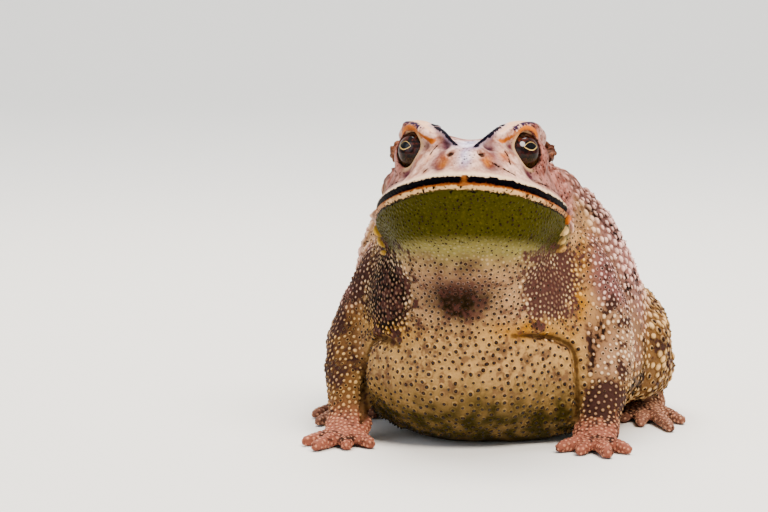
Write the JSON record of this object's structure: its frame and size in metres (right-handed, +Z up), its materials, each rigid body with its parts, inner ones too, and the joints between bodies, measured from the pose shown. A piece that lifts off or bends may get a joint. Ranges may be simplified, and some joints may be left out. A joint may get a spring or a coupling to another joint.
{
  "type": "asian common toad",
  "caption": "Still life-size model of a fat warty toad sitting upright on its belly, forefeet and hind feet, head raised.",
  "frame": {"origin": "on the floor under the belly, in the middle of the body's width", "axes": "+Z up, -Y towards the snout, +X towards the toad's left"},
  "size_m": [0.0783, 0.0937, 0.0644],
  "materials": {
    "back_skin": "dull moist warty skin, mauve-brown with pale warts",
    "head_skin": "satin skin over bone, pinkish cream with black crests and lip edges",
    "throat_skin": "fine-grained satin skin, olive yellow",
    "limb_skin": "dull warty skin, ochre mottled with dark brown",
    "gland_skin": "satin pitted gland skin, reddish brown",
    "eardrum": "smooth taut skin, brown",
    "eye": "wet gloss, near black with thin gold lines"
  },
  "bodies": {
    "root": {"torso": "back_skin", "head": "head_skin", "lower_jaw": "throat_skin", "eye_l": "eye", "tympanum_l": "eardrum", "parotoid_l": "gland_skin", "upper_arm_l": "limb_skin", "forearm_l": "limb_skin", "hand_l": "limb_skin", "thigh_l": "limb_skin", "shank_l": "limb_skin", "foot_l": "limb_skin", "eye_r": "eye", "tympanum_r": "eardrum", "parotoid_r": "gland_skin", "upper_arm_r": "limb_skin", "forearm_r": "limb_skin", "hand_r": "limb_skin", "thigh_r": "limb_skin", "shank_r": "limb_skin", "foot_r": "limb_skin"}
  },
  "joints": []
}
